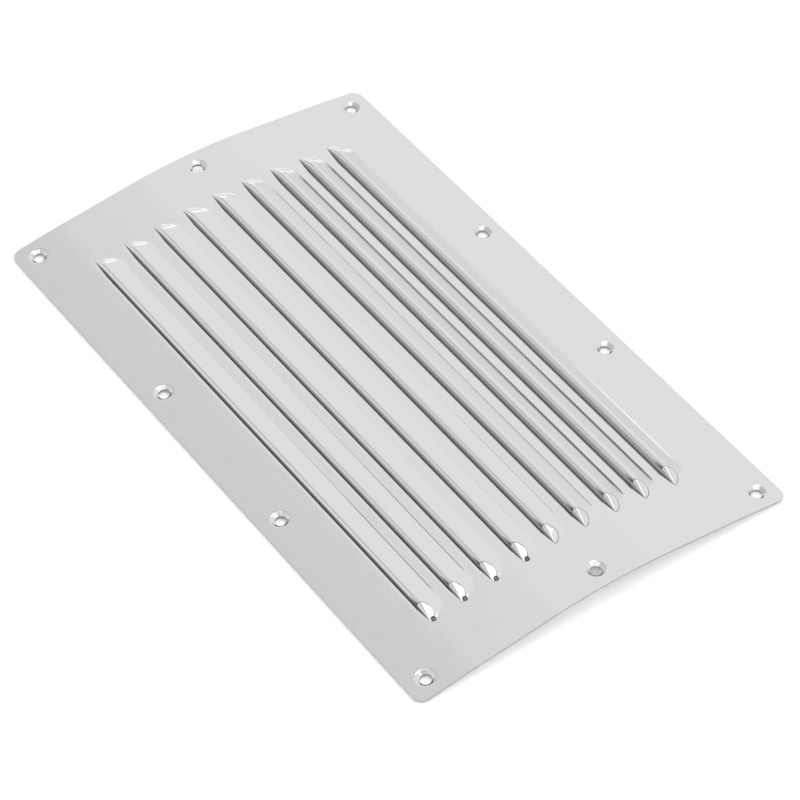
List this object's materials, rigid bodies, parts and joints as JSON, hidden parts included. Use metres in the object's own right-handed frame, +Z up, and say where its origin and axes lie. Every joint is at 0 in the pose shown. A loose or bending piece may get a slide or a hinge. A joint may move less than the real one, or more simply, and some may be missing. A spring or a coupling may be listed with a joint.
{
  "type": "louvred vent panel",
  "caption": "Bowed rectangular sheet metal vent panel with a row of long pressed louvres and dimpled holes for countersunk screws along its edges.",
  "frame": {"origin": "bottom centre of the bounding box, level with the two long edges that the bowed sheet stands on", "axes": "+X across the louvres, away from their openings, +Y along the louvres, +Z up, out of the face"},
  "size_m": [0.195, 0.325, 0.015],
  "materials": {
    "steel": "bright satin stainless sheet with fine lines along the louvres"
  },
  "bodies": {
    "root": {"louvred_panel": "steel"}
  },
  "joints": []
}
